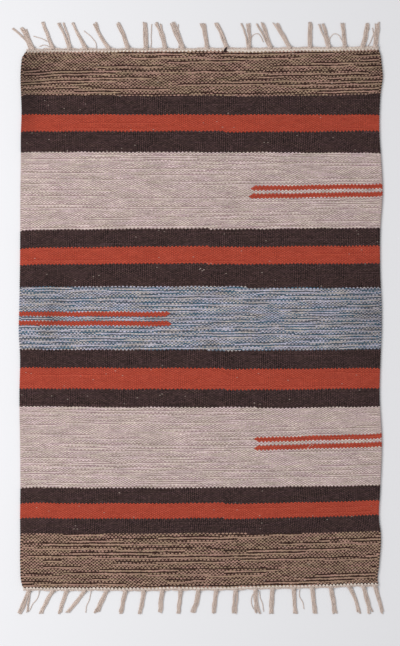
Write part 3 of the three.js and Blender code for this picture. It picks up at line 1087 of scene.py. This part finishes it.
def header_yarns(tassels, end):
    """The warp ends between the cloth and their knots. Each runs to the nearest knot."""
    roots = np.array([tassel.root for tassel in tassels])
    across = np.arange(WARP_ENDS) + 0.5
    start_x, start_y = weave_plan(across, np.full_like(across, end.last_row))
    knot_x = roots[np.abs(start_x[:, None] - roots[None]).argmin(axis=1)]
    knot_y = knot_at(knot_x, end)
    t = np.linspace(0, 1, HEADER_STEPS)[None]
    aside = (start_x - knot_x)[:, None]
    room = np.abs(knot_y - start_y)
    rise = HEADER_TUCK + (room * rng.uniform(*HEADER_STRAIGHT, WARP_ENDS))[:, None]
    inside_knot = np.sign(aside) * HEADER_INSIDE_KNOT
    gathered = smooth_step((t - HEADER_GATHER) / (1 - HEADER_GATHER))
    x = knot_x[:, None] + inside_knot + (aside - inside_knot) * (1 - gathered)
    first = (start_y - end.outward * HEADER_TUCK)[:, None]
    y = first + end.outward * rise * np.clip(t / HEADER_BEND, 0, 1)
    left = knot_y[:, None] - first - end.outward * rise
    y = y + left * smooth_step((t - HEADER_BEND) / (1 - HEADER_BEND))
    height = rng.uniform(*HEADER_HEIGHTS, WARP_ENDS)[:, None]
    z = HEADER_HEIGHT + (height - HEADER_HEIGHT) * np.sin(np.pi * t) ** 2 + HEADER_CLIMB * t
    return np.stack(np.broadcast_arrays(x, y, z), axis=2)


def header_pick(end, lane):
    """One pick of undyed weft along the end of the cloth, over and under the warps."""
    across = np.arange(0, 2 * WARP_ENDS + 1) / 2
    x, y = weave_plan(across, np.full_like(across, end.last_row))
    room = np.abs(knot_at(x, end) - y) * (lane + HEADER_PICK_START) / HEADER_PICKS
    y = y + end.outward * (room + ripple(HEADER_SAGS, across, lane))
    wave = HEADER_PICK_WAVE * np.cos(np.pi * (across - 0.5 + lane))
    z = HEADER_PICK_HEIGHT - HEADER_PICK_DROP * lane + wave
    return np.stack([x, y, z], axis=1)[None]


def loose_yarns(loose):
    """A few yarns side by side along a route on the floor, down from the header's height."""
    route = np.array(loose.route, float)
    steps = np.concatenate([[0], np.linalg.norm(np.diff(route, axis=0), axis=1).cumsum()])
    at = np.linspace(0, steps[-1], YARN_STEPS)
    x = curve_through(steps, route[:, 0], at)
    y = curve_through(steps, route[:, 1], at)
    fall = LOOSE_LIFT * (1 - smooth_step(at / LOOSE_FALL))
    paths = []
    for yarn in range(loose.yarns):
        aside = (yarn - (loose.yarns - 1) / 2) * LOOSE_PITCH
        turn = at / rng.uniform(*LOOSE_WAVE_LENGTHS) + rng.uniform(*LOOSE_WAVE_STARTS)
        own_x = x + aside * LOOSE_ASIDE[0] + LOOSE_WAVE * np.sin(turn)
        z = YARN_RADIUS + fall + LOOSE_STACK * (yarn % 2)
        paths.append(np.stack([own_x, y + aside * LOOSE_ASIDE[1], z], axis=1))
    return np.array(paths)


def lanes_map(faces, data):
    """A flat map of spun yarns: each strand is a lane of the square, unrolled."""
    strand = data[faces, 1].astype(int)
    longest = np.zeros(strand.max() + 1)
    np.maximum.at(longest, data[:, 1].astype(int), data[:, 0])
    lanes = math.ceil(len(longest) / LANE_COLUMNS)
    along = data[faces, 0] / longest[strand]
    around = data[faces, 2]
    last_side = np.ptp(around, axis=1)[:, None] > 0.5
    around = around + (last_side & (around < 0.5))
    u = (strand % LANE_COLUMNS + LANE_END + (1 - 2 * LANE_END) * along) / LANE_COLUMNS
    v = (strand // LANE_COLUMNS + LANE_EDGE + (1 - 2 * LANE_EDGE) * around) / lanes
    return np.stack([u.ravel(), v.ravel()], axis=1)


def yarn_object(name, parts, material):
    """Several results of spin as one mesh of undyed yarn."""
    points, faces, data = joined(parts)
    uvs = {"Strand": data[faces.ravel(), :2], "OFBake": lanes_map(faces, data)}
    return mesh_object(name, points, faces.tolist(), uvs, material)


def spin_fringe(name, tassels, loose, end, material):
    """One end's header, knots, tassels and lone yarns, as one mesh."""
    parts = [spin(header_yarns(tassels, end))]
    parts += [spin(header_pick(end, lane)) for lane in range(HEADER_PICKS)]
    for tassel in tassels:
        parts.append(spin(tassel_yarns(tassel, end)))
        parts.append(spin(knot_wraps(tassel, end)))
    parts += [spin(loose_yarns(strand)) for strand in loose]
    return yarn_object(name, parts, material)


def spin_tail(material):
    """The loose end of a weft at the north edge of the cloth, in the colours of its own pick."""
    paths = loose_yarns(WEFT_TAIL)
    stations = np.linspace(0, YARN_STEPS - 1, len(TAIL_RISE))
    paths[:, :, 2] = np.interp(np.arange(YARN_STEPS), stations, TAIL_RISE)
    points, faces, data = spin(paths)
    along, strand, _ = data[faces.ravel()].T
    weave_uv = np.stack([along / WARP_PITCH, TAIL_PICK + strand / PLIES], axis=1)
    uvs = {"Weave": weave_uv, "OFBake": lanes_map(faces, data)}
    return mesh_object("weft_tail", points, faces.tolist(), uvs, material)


def spin_lint(material):
    """The pale fibres on the cloth, as one mesh."""
    parts = []
    for fibre in LINT:
        paths = loose_yarns(fibre)
        paths[:, :, 2] = LINT_HEIGHT
        parts.append(spin(paths, LINT_PLY_RADIUS, LINT_PLY_OFFSET))
    return yarn_object("lint", parts, material)


# Stage


def add_floor():
    corners = np.array([[-1, -1, 0], [1, -1, 0], [1, 1, 0], [-1, 1, 0]], float)
    points = corners * FLOOR_SIZE / MM
    points[:, 2] = FLOOR_HEIGHT / MM
    return mesh_object("floor", points, [[0, 1, 2, 3]], {"UVMap": corners[:, :2]}, floor_material())


def add_key_light():
    """A broad soft light, up on the rug's left."""
    light = bpy.data.lights.new("key", "AREA")
    light.size = KEY_SIZE
    light.energy = KEY_POWER
    light.color = WHITE
    made = bpy.data.objects.new("key", light)
    made.location = KEY_PLACE
    made.rotation_euler = (-Vector(KEY_PLACE)).to_track_quat("-Z", "Y").to_euler()
    bpy.context.collection.objects.link(made)


def add_world():
    world = bpy.data.worlds.new("studio")
    bpy.context.scene.world = world
    world.use_nodes = True
    background = world.node_tree.nodes["Background"]
    background.inputs["Color"].default_value = (*WHITE, 1.0)
    background.inputs["Strength"].default_value = SKY_STRENGTH


def add_camera():
    """A camera straight above the rug, with the photo's height of floor in its frame."""
    camera = bpy.data.cameras.new("camera")
    camera.sensor_fit = "VERTICAL"
    camera.angle = 2 * math.atan(PHOTO_HEIGHT * PIXEL / 2 / CAMERA_DISTANCE)
    made = bpy.data.objects.new("camera", camera)
    made.location = (*CAMERA_CENTRE, CAMERA_DISTANCE)
    bpy.context.collection.objects.link(made)
    bpy.context.scene.camera = made


bpy.context.scene.view_settings.view_transform = "Standard"
add_camera()
add_world()
add_key_light()
add_floor()

yarn_of_the_cloth = woven_material()
yarn_of_the_fringe = fringe_material()
cloth = weave_cloth(yarn_of_the_cloth)
north_fringe = spin_fringe("tassels_north", NORTH_TASSELS, NORTH_LOOSE, NORTH, yarn_of_the_fringe)
south_fringe = spin_fringe("tassels_south", SOUTH_TASSELS, SOUTH_LOOSE, SOUTH, yarn_of_the_fringe)

for piece in cloth:
    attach(piece, "root")
    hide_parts("woven_cloth")
for piece, node in ((north_fringe, "fringe_north"), (south_fringe, "fringe_south")):
    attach(piece, "root")
    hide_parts(node)

tail = spin_tail(yarn_of_the_cloth)
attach(tail, "root")
lint = spin_lint(yarn_of_the_fringe)
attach(lint, "root")
